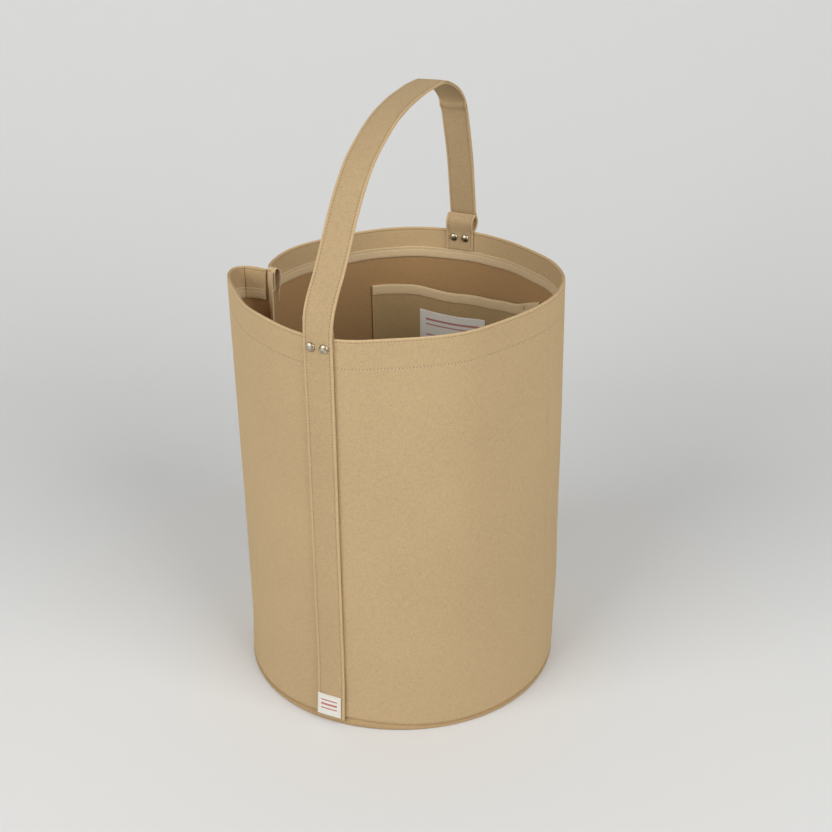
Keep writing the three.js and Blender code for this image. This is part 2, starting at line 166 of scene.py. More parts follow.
def wall(u, z, n=0.0):
    """A point on the wall, n outwards from its outer face."""
    u = np.asarray(u, float) + 0 * np.asarray(z, float)
    z = np.asarray(z, float) + 0 * u
    low = np.where(u >= 0.5, 0.5, 0)
    ahead = outline(np.minimum(low + 0.49999, u + 0.0008), z)
    behind = outline(np.maximum(low, u - 0.0008), z)
    along = ahead - behind
    along /= np.linalg.norm(along, axis=1)[:, None]
    outwards = np.column_stack([along[:, 1], -along[:, 0]])
    flat = outline(u, z) + (n + slack(u, z))[:, None] * outwards
    return np.column_stack([flat, z])


def seam_frame(z):
    """The left seam's line, the way inwards from it, and the way across the fin."""
    z = np.asarray(z, float)
    here = outline(np.zeros(len(z)), z)
    front_normal = wall(np.zeros(len(z)), z, 1.0) - wall(np.zeros(len(z)), z, 0.0)
    last = np.full(len(z), 0.99999)
    back_normal = wall(last, z, 1.0) - wall(last, z, 0.0)
    inwards = -(front_normal + back_normal)[:, :2]
    inwards /= np.linalg.norm(inwards, axis=1)[:, None]
    across = np.column_stack([-inwards[:, 1], inwards[:, 0]])
    return here, inwards, across


FRONT_STRAP = 0.25
BACK_STRAP = 0.75
rim_length = sum(lengths_along(half[0])[-1] for half in (FRONT_HALF, BACK_HALF))
print(f"girth {GIRTH:.0f} mm, rim {rim_length:.0f} mm")

# %% [markdown]
# ## Flat pieces
# A pattern piece starts from `create_grid`. Its border distance is stored as "wear",
# which the canvas finish uses to rub the edges lighter. `lay` then moves each point from
# its place on the flat pattern to its place on the bag, and Solidify and Bevel give the
# cloth its thickness and its soft cut edge.

# %% Helpers for pieces of cloth
def even(low, high, gap):
    """Positions from low to high, about gap apart."""
    return np.linspace(low, high, max(2, round((high - low) / gap) + 1))


def flat_piece(columns, rows, worn="", wear_width=3.0):
    """A grid of flat cloth with lines at these positions, and its UV map in metres."""
    bm = bmesh.new()
    halves = Matrix.Diagonal((0.5, 0.5, 1, 1)) @ Matrix.Translation((1, 1, 0))
    across, up = len(columns) - 1, len(rows) - 1
    bmesh.ops.create_grid(bm, x_segments=across, y_segments=up, size=1, matrix=halves)
    cloth = bm.loops.layers.uv.new("cloth")
    wear = bm.verts.layers.float.new("wear")
    for vert in bm.verts:
        vert.co.x = columns[round(vert.co.x * across)]
        vert.co.y = rows[round(vert.co.y * up)]
        borders = {
            "left": vert.co.x - columns[0], "right": columns[-1] - vert.co.x,
            "low": vert.co.y - rows[0], "high": rows[-1] - vert.co.y,
        }
        near = min([borders[side] for side in worn.split()] or [wear_width])
        vert[wear] = max(0.0, 1 - near / wear_width)
    for face in bm.faces:
        for loop in face.loops:
            loop[cloth].uv = (loop.vert.co.x * MM, loop.vert.co.y * MM)
    return bm


def lay(bm, place):
    """Moves flat points to where place(x, y) says, in millimetres."""
    flat = np.array([vert.co for vert in bm.verts])
    laid = place(flat[:, 0], flat[:, 1])
    for vert, point in zip(bm.verts, laid):
        vert.co = Vector(point) * MM
    return bm


def make_object(name, bm, finish, extra=()):
    mesh = bpy.data.meshes.new(name)
    bm.to_mesh(mesh)
    bm.free()
    for face in mesh.polygons:
        face.use_smooth = True
    piece = bpy.data.objects.new(name, mesh)
    bpy.context.scene.collection.objects.link(piece)
    for material in (finish, *extra):
        mesh.materials.append(material)
    return piece


def settle(piece):
    """Applies the modifiers, so that the piece's mesh is final."""
    seen = piece.evaluated_get(bpy.context.evaluated_depsgraph_get())
    final = bpy.data.meshes.new_from_object(seen)
    final.name = piece.name
    piece.modifiers.clear()
    piece.data = final
    return piece


def thicken(piece, thickness, offset=-1.0, edge=0.35, back=0):
    """Gives a sheet its thickness and rounded edges; its back takes finish number back."""
    wall_modifier = piece.modifiers.new("thickness", "SOLIDIFY")
    wall_modifier.material_offset = back
    wall_modifier.thickness = thickness * MM
    wall_modifier.offset = offset
    wall_modifier.use_even_offset = True
    rounding = piece.modifiers.new("rounded edge", "BEVEL")
    rounding.width = edge * MM
    rounding.segments = 2
    rounding.limit_method = "ANGLE"
    rounding.angle_limit = math.radians(50)
    return settle(piece)


def report(piece):
    faces = len(piece.data.polygons)
    size = ", ".join(f"{side / MM:.0f}" for side in piece.dimensions)
    print(f"{piece.name}: {faces} faces, {size} mm")
    return piece


def on_bag(piece, *nodes):
    """The piece moves with the bag's body and stands for these parts of the frame."""
    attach(piece, "bag")
    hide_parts(*nodes)
    return report(piece)


# %% [markdown]
# ## Camera, light and room
# The bag is seen from the front, a little to the right and from well above, so that the
# inside shows. A slightly long lens keeps its sides nearly straight.

# %% Camera
camera_data = bpy.data.cameras.new("camera")
camera_data.lens = 53.14
camera_data.sensor_width = 36
camera = bpy.data.objects.new("camera", camera_data)
forward = Vector((-0.35496, 0.82788, -0.4343)).normalized()
camera.location = (0.45674, -1.02911, 0.80950)
camera.rotation_euler = forward.to_track_quat("-Z", "Y").to_euler()
bpy.context.scene.collection.objects.link(camera)
bpy.context.scene.camera = camera
print("camera stands", round(camera.location.length, 2), "m from the base's centre")

# %% [markdown]
# The room is one sheet of pale paper that sweeps up behind the bag. It is an edge
# extruded along the sweep's line, so it has no corner to cast a dark line.

# %% Paper sweep
def blank_material(name):
    """A new material, with its node tree and its Principled shader."""
    material = bpy.data.materials.new(name)
    material.use_nodes = True
    return material, material.node_tree, material.node_tree.nodes["Principled BSDF"]


def paint(name, colour, roughness):
    material, _, shader = blank_material(name)
    shader.inputs["Base Color"].default_value = (*colour, 1)
    shader.inputs["Roughness"].default_value = roughness
    return material


SWEEP_WIDTH = 9.0
SWEEP_START = 0.62
SWEEP_RADIUS = 0.9
SWEEP_TOP = 4.0
away = Vector((forward.x, forward.y, 0)).normalized()
sideways = Vector((away.y, -away.x, 0))
line = [(-3.5, 0.0), (SWEEP_START, 0.0)]
for step in range(1, 25):
    turn = math.pi / 2 * step / 24
    rise = SWEEP_RADIUS * (1 - math.cos(turn))
    line.append((SWEEP_START + SWEEP_RADIUS * math.sin(turn), rise))
line.append((SWEEP_START + SWEEP_RADIUS, SWEEP_TOP))
bm = bmesh.new()
ends = [bm.verts.new(sideways * side * SWEEP_WIDTH / 2 + away * line[0][0]) for side in (-1, 1)]
edge = bm.edges.new(ends)
for (back, height), (next_back, next_height) in zip(line, line[1:]):
    made = bmesh.ops.extrude_edge_only(bm, edges=[edge])["geom"]
    moved = [item for item in made if isinstance(item, bmesh.types.BMVert)]
    shift = away * (next_back - back) + Vector((0, 0, next_height - height))
    bmesh.ops.translate(bm, verts=moved, vec=shift)
    edge = [item for item in made if isinstance(item, bmesh.types.BMEdge)][0]
paper_mesh = bpy.data.meshes.new("paper sweep")
bm.to_mesh(paper_mesh)
bm.free()
for face in paper_mesh.polygons:
    face.use_smooth = True
paper = bpy.data.objects.new("paper_sweep", paper_mesh)
paper_mesh.materials.append(paint("pale paper", (0.76, 0.76, 0.75), 0.9))
bpy.context.scene.collection.objects.link(paper)
print("paper sweep:", len(paper_mesh.polygons), "faces")

# %% [markdown]
# Canvas shows best in broad soft light: two wide softboxes, one to each side of the
# viewer, light the round wall evenly, and a grey surround fills the shadows.

# %% Lights
def softbox(name, place, aim, width, height, power):
    data = bpy.data.lights.new(name, "AREA")
    data.shape = "RECTANGLE"
    data.size = width
    data.size_y = height
    data.energy = power
    light = bpy.data.objects.new(name, data)
    light.location = place
    light.rotation_euler = (Vector(aim) - Vector(place)).to_track_quat("-Z", "Y").to_euler()
    bpy.context.scene.collection.objects.link(light)
    return light


def round_the_bag(azimuth, elevation, distance):
    """A place as seen from the bag: azimuth 0 is straight in front, and 90 to the right."""
    a, e = math.radians(azimuth), math.radians(elevation)
    flat = distance * math.cos(e)
    return Vector((flat * math.sin(a), -flat * math.cos(a), 0.25 + distance * math.sin(e)))


softbox("left softbox", round_the_bag(-26, 29, 2.9), (0, 0, 0.25), 2.0, 2.0, 57)
softbox("right softbox", round_the_bag(68, 30, 2.9), (0, 0, 0.25), 2.0, 2.0, 53)
world = bpy.data.worlds.new("grey surround")
world.use_nodes = True
world.node_tree.nodes["Background"].inputs["Color"].default_value = (0.80, 0.81, 0.82, 1)
world.node_tree.nodes["Background"].inputs["Strength"].default_value = 0.26
bpy.context.scene.world = world
bpy.context.scene.view_settings.view_transform = "Standard"

# %% [markdown]
# ## Finishes
# Canvas is a plain weave: each yarn goes over one and under the next. Two sine waves
# multiplied together make that pattern of little pillows, with warp on top where the
# product is positive and weft where it is negative. Noise stretched along each yarn
# gives thick and thin places, broad noise gives the uneven dye, and the wear attribute
# lightens the edges. The same pillows drive the bump, and they darken the hollows
# between the yarns as painted shade.

# %% Woven cloth
def node(tree, kind, **sockets):
    """A node, with values or links for its inputs by name or number."""
    made = tree.nodes.new(kind)
    for name, value in sockets.items():
        put(tree, made, name, value)
    return made


def put(tree, made, name, value):
    socket = made.inputs[int(name[1:])] if name[0] == "i" and name[1:].isdigit() else made.inputs[name]
    if isinstance(value, bpy.types.NodeSocket):
        tree.links.new(value, socket)
    else:
        socket.default_value = value


def maths(tree, operation, a, b=0.0, c=0.0):
    made = node(tree, "ShaderNodeMath", i0=a, i1=b, i2=c)
    made.operation = operation
    return made.outputs[0]


def noise(tree, vector, scale, detail=2.0):
    made = node(tree, "ShaderNodeTexNoise", Vector=vector, Scale=scale, Detail=detail)
    return made.outputs["Fac"]


def stretched(tree, vector, x, y):
    made = node(tree, "ShaderNodeMapping", Vector=vector, Scale=(x, y, 1))
    return made.outputs["Vector"]


def shade(colour, factor):
    return tuple(min(1.0, channel * factor) for channel in colour)


def ramp(tree, amount, stops):
    made = node(tree, "ShaderNodeValToRGB", Fac=amount)
    elements = made.color_ramp.elements
    while len(elements) < len(stops):
        elements.new(0.5)
    for element, (position, colour) in zip(elements, stops):
        element.position = position
        element.color = (*colour, 1)
    return made.outputs["Color"]


def woven(name, colour, pitch=0.8, depth=0.22, contrast=0.16, worn=0.25, sheen=0.25):
    """A plain weave whose yarns are pitch millimetres apart."""
    material, tree, shader = blank_material(name)
    uv_map = tree.nodes.new("ShaderNodeUVMap")
    uv_map.uv_map = "cloth"
    cloth = uv_map.outputs["UV"]
    place = tree.nodes.new("ShaderNodeTexCoord").outputs["Object"]

    sway = node(tree, "ShaderNodeTexNoise", Vector=cloth, Scale=70.0, Detail=1.0)
    centred = node(tree, "ShaderNodeVectorMath", i0=sway.outputs["Color"], i1=(0.5, 0.5, 0.5))
    centred.operation = "SUBTRACT"
    swayed = node(tree, "ShaderNodeVectorMath", i0=centred.outputs[0], i1=(0.0011,) * 3, i2=cloth)
    swayed.operation = "MULTIPLY_ADD"
    axes = node(tree, "ShaderNodeSeparateXYZ", i0=swayed.outputs[0])
    turns = math.pi / (pitch * MM)
    warp = maths(tree, "SINE", maths(tree, "MULTIPLY", axes.outputs["X"], turns))
    weft = maths(tree, "SINE", maths(tree, "MULTIPLY", axes.outputs["Y"], turns))
    product = maths(tree, "MULTIPLY", warp, weft)
    pillow = maths(tree, "POWER", maths(tree, "ABSOLUTE", product), 0.45)
    warp_on_top = maths(tree, "GREATER_THAN", product, 0.0)

    yarn_rate = 1 / (pitch * MM)
    warp_yarn = noise(tree, stretched(tree, cloth, yarn_rate, 150), 1.0)
    weft_yarn = noise(tree, stretched(tree, cloth, 150, yarn_rate), 1.0)
    yarn = node(tree, "ShaderNodeMix", i0=warp_on_top, i2=weft_yarn, i3=warp_yarn).outputs[0]
    dye = noise(tree, place, 9.0, 3.0)
    cloud = noise(tree, place, 600.0, 2.0)
    wear = tree.nodes.new("ShaderNodeAttribute")
    wear.attribute_name = "wear"
    rubbed = maths(tree, "MULTIPLY", wear.outputs["Fac"], maths(tree, "ADD", cloud, 0.35))

    tone = maths(tree, "MULTIPLY_ADD", maths(tree, "SUBTRACT", yarn, 0.5), 0.6, 0.5)
    tone = maths(tree, "MULTIPLY_ADD", maths(tree, "SUBTRACT", dye, 0.5), 0.22, tone)
    tone = maths(tree, "MULTIPLY_ADD", maths(tree, "SUBTRACT", cloud, 0.5), 0.5, tone)
    # Painted shade: the hollows between the yarns' pillows are darker.
    tone = maths(tree, "MULTIPLY_ADD", maths(tree, "SUBTRACT", pillow, 0.75), 0.35, tone)
    tone = maths(tree, "MULTIPLY_ADD", rubbed, worn, tone)
    stops = [
        (0.0, shade(colour, 1 - 2.2 * contrast)), (0.5, colour),
        (1.0, shade(colour, 1 + 1.6 * contrast)),
    ]
    put(tree, shader, "Base Color", ramp(tree, tone, stops))

    rough = maths(tree, "MULTIPLY_ADD", cloud, -0.12, 0.97)
    put(tree, shader, "Roughness", rough)
    fuzz = noise(tree, cloth, 2600.0, 2.0)
    height = maths(tree, "MULTIPLY_ADD", fuzz, 0.5, maths(tree, "MULTIPLY_ADD", cloud, 0.6, pillow))
    bump = node(tree, "ShaderNodeBump", Strength=0.7, Distance=depth * MM, Height=height)
    put(tree, shader, "Normal", bump.outputs["Normal"])
    shader.inputs["Specular IOR Level"].default_value = 0.25
    shader.inputs["Sheen Weight"].default_value = sheen
    shader.inputs["Sheen Roughness"].default_value = 0.5
    shader.inputs["Sheen Tint"].default_value = (*shade(colour, 1.5), 1)
    return material


def linear(red, green, blue):
    """A screen colour, 0 to 255, as the linear colour that a shader takes."""
    return tuple((channel / 255) ** 2.2 for channel in (red, green, blue))


canvas = woven("washed canvas", linear(188, 162, 123), worn=0.5)
strap_canvas = woven("strap canvas", linear(184, 158, 120), worn=0.6)
# The bag's inner faces and inner base layer take a darker copy of the canvas, as painted shade for the
# inside of the bag.
shaded_inner_canvas = woven("inner canvas painted shade", linear(167, 133, 92))
# A darker copy of the canvas for the base, as painted shade on its downward-curving edge.
base_canvas_shaded = woven("base canvas painted shade", linear(176, 148, 109))
# A lighter copy of the canvas for the rim facing, as painted light on the inner rim.
facing_canvas_lit = woven("facing canvas painted light", linear(195, 167, 126))
# A darker copy of the canvas for the pocket, as painted shade inside the bag.
pocket_canvas_shaded = woven("pocket canvas painted shade", linear(172, 145, 104))
tape_cloth = woven("binding tape", linear(207, 182, 144), pitch=0.55, depth=0.16, contrast=0.12)
print("cloth finishes:", canvas.name, strap_canvas.name, shaded_inner_canvas.name, tape_cloth.name)

# %% [markdown]
# Sewing thread is twisted, so each stitch has fine slanting ridges. A wave along the
# stitch gives them and paints their grooves darker as shade. The needle's holes are dark, dull spots
# of painted shade.

# %% Thread, needle holes and aged brass
def thread(name, colour):
    material, tree, shader = blank_material(name)
    place = tree.nodes.new("ShaderNodeTexCoord").outputs["Object"]
    ply = node(tree, "ShaderNodeTexWave", Vector=place, Scale=900.0, Distortion=1.5)
    # Painted shade: the grooves of the twist are darker than its ridges.
    stops = [(0, shade(colour, 0.8)), (1, colour)]
    put(tree, shader, "Base Color", ramp(tree, ply.outputs["Fac"], stops))
    bump = node(tree, "ShaderNodeBump", Strength=0.5, Distance=0.0001, Height=ply.outputs["Fac"])
    put(tree, shader, "Normal", bump.outputs["Normal"])
    put(tree, shader, "Roughness", maths(tree, "MULTIPLY_ADD", noise(tree, place, 300.0), 0.2, 0.55))
    shader.inputs["Sheen Weight"].default_value = 0.2
    return material


# The needle hole's dark colour is painted shade inside the hole.
def needle_hole_shade():
    material, tree, shader = blank_material("needle hole")
    place = tree.nodes.new("ShaderNodeTexCoord").outputs["Object"]
    grain = noise(tree, place, 500.0)
    stops = [(0.3, linear(104, 80, 52)), (0.7, linear(138, 112, 76))]
    put(tree, shader, "Base Color", ramp(tree, grain, stops))
    shader.inputs["Roughness"].default_value = 1.0
    return material


def aged_brass():
    material, tree, shader = blank_material("aged brass")
    place = tree.nodes.new("ShaderNodeTexCoord").outputs["Object"]
    tarnish = noise(tree, place, 420.0, 4.0)
    stops = [(0.35, linear(138, 122, 98)), (0.65, linear(204, 194, 172))]
    put(tree, shader, "Base Color", ramp(tree, tarnish, stops))
    put(tree, shader, "Roughness", maths(tree, "MULTIPLY_ADD", tarnish, 0.3, 0.22))
    scratches = noise(tree, stretched(tree, place, 400, 3000), 1.0, 3.0)
    bump = node(tree, "ShaderNodeBump", Strength=0.25, Distance=0.00008, Height=scratches)
    put(tree, shader, "Normal", bump.outputs["Normal"])
    shader.inputs["Metallic"].default_value = 1.0
    return material


tan_thread = thread("tan thread", linear(188, 162, 120))
cream_thread = thread("cream thread", linear(216, 200, 166))
hole = needle_hole_shade()
brass = aged_brass()

# %% [markdown]
# ## Stitches
# One stitch is a small stretched sphere lying in the cloth, with a dark needle hole of
# painted shade at its end. `sew` sets them along any line, each turned to follow the
# line and the surface under it.

# %% Sewing
STITCH = {"pitch": 3.1, "length": 2.2, "radius": 0.30}
HOLE_SIZE = (0.55, 0.42, 0.12, 1)


def template(kind, **shape):
    """A small shape made once with a bmesh operator, to be set down many times."""
    bm = bmesh.new()
    kind(bm, radius=1, **shape)
    mesh = bpy.data.meshes.new("template")
    bm.to_mesh(mesh)
    bm.free()
    return mesh


STITCH_SHAPE = template(bmesh.ops.create_uvsphere, u_segments=6, v_segments=4)
HOLE_SHAPE = template(bmesh.ops.create_icosphere, subdivisions=1)
for face in HOLE_SHAPE.polygons:
    face.material_index = 1


def set_down(bm, shape, place):
    """Adds one copy of a template at a place."""
    copy = shape.copy()
    copy.transform(place)
    bm.from_mesh(copy)
    bpy.data.meshes.remove(copy)


def sew(name, rows, finish=None, lift=0.05, holes=True):
    """Stitches along rows, each given as its points and the surface's normals there."""
    bm = bmesh.new()
    pitch = STITCH["pitch"]
    for line, normals in rows:
        walk = lengths_along(line)
        count = max(1, int(walk[-1] / pitch))
        for middle in (np.arange(count) + 0.5) * walk[-1] / count:
            at = Vector([np.interp(middle, walk, line[:, axis]) for axis in range(3)])
            ahead = Vector([np.interp(middle + 0.5, walk, line[:, axis]) for axis in range(3)])
            up = Vector([np.interp(middle, walk, normals[:, axis]) for axis in range(3)])
            up.normalize()
            along = (ahead - at).normalized()
            across = up.cross(along).normalized()
            turn = Matrix((along, across, up)).transposed().to_4x4()
            size = (STITCH["length"] / 2, STITCH["radius"], STITCH["radius"] * 0.8, 1)
            spot = Matrix.Translation((at + up * lift) * MM) @ turn @ Matrix.Diagonal(size)
            set_down(bm, STITCH_SHAPE, spot @ Matrix.Scale(MM, 4))
            # Each needle hole is a flat dark spot of painted shade.
            if holes:
                end = at + along * (pitch / 2) + up * 0.02
                spot = Matrix.Translation(end * MM) @ turn @ Matrix.Diagonal(HOLE_SIZE)
                set_down(bm, HOLE_SHAPE, spot @ Matrix.Scale(MM, 4))
    return make_object(name, bm, finish or tan_thread, [hole])


def line_on(surface, xs, ys):
    """A line of points on a surface(x, y, n), and the surface's normals along it."""
    at = surface(xs, ys, 0.0)
    return at, surface(xs, ys, 1.0) - at


# %% [markdown]
# ## Body panels
# Two canvas panels meet at the side seams. At each seam the cloth dips a little where
# it is turned in, and at the rim it rolls over. The foot of the wall curls under to
# meet the base, and its seam line rises under the strap, where four layers lift it.

# %% Seam line at the foot of the wall, and the panels
def foot_height(u):
    from_strap = (u - FRONT_STRAP) * GIRTH
    from_back = (u - BACK_STRAP) * GIRTH
    lifted = 4.4 * np.exp(-(((from_strap - 14) / 62) ** 2)) + 4.0 * np.exp(-((from_back / 40) ** 2))
    return 3.4 + lifted + 0.4 * np.sin(2 * np.pi * 5 * u)


PATTERN_FOOT = 6.3
SEAM_DIP = 1.1
SEAM_GAP = 0.12
ALLOWANCE = 5.0
BODY_ROWS = np.concatenate([
    even(PATTERN_FOOT, 16, 0.8), even(19, 384, 5), even(387, 394, 0.45), even(396, 412, 2),
    even(412.6, RIM_HEIGHT, 0.4),
])
HEM_LINE = RIM_HEIGHT - 27.5
RIM_LINE = RIM_HEIGHT - 2.8


def groove(distance, depth, width):
    return -depth * np.exp(-((distance / width) ** 2))


def body_surface(x, y, n=0.0):
    """x is the distance round the bag from the left seam, y the height on the pattern."""
    u = x / GIRTH
    foot = foot_height(u)
    z = foot + (y - PATTERN_FOOT) * (RIM_HEIGHT - foot) / (RIM_HEIGHT - PATTERN_FOOT)
    to_right_seam = np.abs(u - 0.5) * GIRTH
    turned_in = np.maximum(-x, x - GIRTH)
    curl_in = -2.2 * np.clip(1 - (z - foot) / 4.5, 0, 1) ** 2
    roll = -0.55 * np.clip((z - (RIM_HEIGHT - 1.6)) / 1.6, 0, 1) ** 2
    seam = groove(to_right_seam, SEAM_DIP, 1.6)
    lines = groove(z - HEM_LINE, 0.22, 0.9) + groove(z - RIM_LINE, 0.3, 0.9)
    point = wall(np.clip(u, 0, 0.9999), z, n + curl_in + roll + seam + lines)
    here, inwards, across = seam_frame(z)
    side = np.where(x < GIRTH / 2, -SEAM_GAP, SEAM_GAP)
    tucked = here + (turned_in + 0.6)[:, None] * inwards + side[:, None] * across
    point[turned_in > 0, :2] = tucked[turned_in > 0]
    return point


for side, start in (("front", 0.0), ("back", GIRTH / 2)):
    left = start - (0.0 if start else ALLOWANCE)
    right = start + GIRTH / 2 + (ALLOWANCE if start else 0.0)
    columns = list(even(start, start + GIRTH / 2, 3.0))
    columns += [left, left + 2, left + 4] if not start else [right - 4, right - 2, right]
    columns += [start + 1.2, start + GIRTH / 2 - 1.2]
    bm = flat_piece(sorted(columns), BODY_ROWS, "high", 3.2)
    lay(bm, body_surface)
    # The panels' inner faces take the darker canvas copy, painted shade.
    piece = make_object(f"{side}_body_panel", bm, canvas, [shaded_inner_canvas])
    on_bag(thicken(piece, CANVAS, back=1), f"body_panel_{side}")

# %% [markdown]
# ## Base
# The base is a disc of canvas with a turned-up edge inside the wall. It is a half
# profile turned once round with Spin. Its edge is then scaled point by point, in height
# and outwards, so that it follows the foot of the wall.

# %% Base, lining and the bound allowance inside
BASE_EDGE = [
    (0.0, 0.0), (40.0, 0.0), (80.0, 0.0), (120.0, 0.0), (150.0, 0.0), (158.0, 0.03),
    (161.6, 0.2), (162.7, 0.8), (163.2, 1.8), (163.2, 2.9), (162.7, 3.9), (161.7, 4.7),
    (160.6, 5.2), (160.0, 5.7), (159.8, 8.5),
]
BASE_SEAM = 5.4


def turned(profile, steps):
    """A profile of (radius, height) in millimetres, spun round the Z axis."""
    bm = bmesh.new()
    verts = [bm.verts.new((radius * MM, 0, height * MM)) for radius, height in profile]
    edges = [bm.edges.new(pair) for pair in zip(verts, verts[1:])]
    bmesh.ops.spin(
        bm, geom=verts + edges, cent=(0, 0, 0), axis=(0, 0, 1), angle=2 * math.pi,
        steps=steps, use_merge=True,
    )
    bmesh.ops.remove_doubles(bm, verts=bm.verts, dist=0.01 * MM)
    return bm


def flat_uv(bm):
    """Cloth that lies level takes its weave straight from above."""
    cloth = bm.loops.layers.uv.new("cloth")
    for face in bm.faces:
        for loop in face.loops:
            loop[cloth].uv = (loop.vert.co.x, loop.vert.co.y)
    return bm


bm = turned(BASE_EDGE, 240)
for vert in bm.verts:
    angle = math.atan2(vert.co.y, vert.co.x)
    u = np.array([(angle / (2 * math.pi) + 0.5) % 1.0])
    vert.co.z *= (foot_height(u)[0] + 0.4) / BASE_SEAM
    radius = math.hypot(vert.co.x, vert.co.y) / MM
    wider = 1 + spread(u)[0] / BASE_RADIUS * (radius / BASE_RADIUS) ** 4
    vert.co.x *= wider
    vert.co.y *= wider
bmesh.ops.recalc_face_normals(bm, faces=bm.faces)
if sum(face.normal.z * face.calc_area() for face in bm.faces) > 0:
    bmesh.ops.reverse_faces(bm, faces=bm.faces)
# The base takes the darker canvas copy, painted shade on its curved-under edge.
base = make_object("base", flat_uv(bm), base_canvas_shaded)
on_bag(thicken(base, CANVAS), "base_panel")

bm = turned([(0, 3.3), (50, 3.4), (110, 3.2), (150, 3.3), (155, 3.0)], 160)
bmesh.ops.recalc_face_normals(bm, faces=bm.faces)
# The inner base layer takes the darker canvas copy, painted shade.
lining = make_object("base_inner_layer", flat_uv(bm), shaded_inner_canvas)
on_bag(thicken(lining, CANVAS), "base_lining")


def ridge(across, width, height):
    """Height of a bound edge's rounded back, from one side to the other."""
    share = np.clip(np.abs(across) / (width / 2), 0, 1)
    return height * (1 - share ** 4)


def base_binding(x, y, n=0.0):
    z = 9.5 + y
    bulge = ridge(y - 5, 10.5, 1.2)
    return wall(x / GIRTH, z, n - 2.7 - bulge)


bm = lay(flat_piece(even(0.4, GIRTH - 0.4, 4), even(0, 10, 1.2), "high"), base_binding)
piece = make_object("base_seam_binding", bm, tape_cloth)
on_bag(thicken(piece, 1.1, offset=1.0), "base_seam_tape")

# %% [markdown]
# ## Facing
# A strip of canvas backs the rim inside, and a folded tape binds its lower edge. The
# facing is joined 27 mm from the left seam, so it is two pieces with a small step.

# %% Facing strips and their tape
FACING_LOW = 386.0
FACING_HIGH = 417.5
FACING_JOIN = 27.0
FACING_ROWS = np.concatenate([even(FACING_LOW, 411, 2.5), even(412, FACING_HIGH, 0.45)])
facing_parts = {"long": (FACING_JOIN + 0.4, GIRTH - 1.6), "short": (1.6, FACING_JOIN - 0.2)}


def facing_surface(x, y, n=0.0):
    creases = 0.22 * np.sin(x / 11.0) * np.sin(x / 37.0 + 1)
    lines = -groove(y - RIM_LINE, 0.25, 0.9)
    top = 0.5 * np.clip((y - 415.6) / 2, 0, 1) ** 2
    return wall(x / GIRTH, y, n - 1.5 + creases * np.clip((415 - y) / 10, 0, 1) + lines - top)


TAPE_FOLD = [
    (-3.15, 396.4), (-3.3, 395.2), (-3.45, 391), (-3.35, 387), (-2.9, 385.2), (-2.1, 384.6),
    (-1.6, 385.0),
]
TAPE_STITCH_LINE = 2.6


def tape_surface(x, y, n=0.0):
    """y walks down the tape's inner leg and round the facing's edge."""
    walk = lengths_along(np.array(TAPE_FOLD))
    across = np.interp(y, walk, [point[0] for point in TAPE_FOLD])
    height = np.interp(y, walk, [point[1] for point in TAPE_FOLD])
    wave = 0.35 * np.sin(x / 26) + 0.2 * np.sin(x / 9.3 + 2)
    line = groove(y - TAPE_STITCH_LINE, 0.4, 0.7)
    return wall(x / GIRTH, height + wave, across - line - n)


tape_length = lengths_along(np.array(TAPE_FOLD))[-1]
for part, (left, right) in facing_parts.items():
    columns = even(left, right, 3.0)
    step = 0.0 if part == "long" else 0.6
    bm = lay(flat_piece(columns, FACING_ROWS, "high"), facing_surface)
    # The facing takes the lighter canvas copy, painted light.
    piece = make_object(f"rim_facing_{part}", bm, facing_canvas_lit)
    on_bag(thicken(piece, CANVAS), f"facing_{part}")
    bm = flat_piece(columns, even(0, tape_length, 0.6), "low", 1.6)
    lay(bm, lambda x, y: tape_surface(x, y, step))
    piece = make_object(f"facing_binding_{part}", bm, tape_cloth)
    on_bag(thicken(piece, 0.8), f"facing_tape_{part}")

# %% [markdown]
# ## Side seam bindings
# The left seam's allowance is bound and stands inwards as a fin. At the rim its tape is
# folded over in a loop, with a loose pointed tail. The right seam's lies flat.

# %% Left fin, its folded tape end, and the right binding
FIN_WALK = [0, 7.4, 8.4, 9.2, 10.2, 17.6]


def fin_surface(x, y):
    """x walks out along one face of the fin, round its edge and back; y is the height."""
    here, inwards, across = seam_frame(y)
    depth = np.interp(x, FIN_WALK, [1.9, 9.0, 9.9, 9.9, 9.0, 1.9])
    side = np.interp(x, FIN_WALK, [-1.1, -1.2, -0.6, 0.6, 1.2, 1.1])
    bend = 0.8 * np.sin(y / 38) * (depth / 9)
    flat = here + depth[:, None] * inwards + (side + bend)[:, None] * across
    return np.column_stack([flat, y])


bm = lay(flat_piece(even(0, FIN_WALK[-1], 1.2), even(17, 416.5, 4), "high"), fin_surface)
piece = make_object("left_seam_binding", bm, tape_cloth)
on_bag(thicken(piece, 0.9), "left_seam_tape")

LOOP = [
    (-1.7, 399), (-2.0, 408), (-1.9, 415), (-0.9, 419.4), (1.3, 420.6), (3.9, 419.0),
    (5.6, 414.5), (6.0, 408), (5.2, 400), (4.4, 392), (5.4, 385),
]
LOOP_TURN = math.radians(-24)
LOOP_WIDTH = 8.6
LOOP_FOOT = 2.0
loop_line = smooth_line(LOOP)
loop_walk = lengths_along(loop_line)


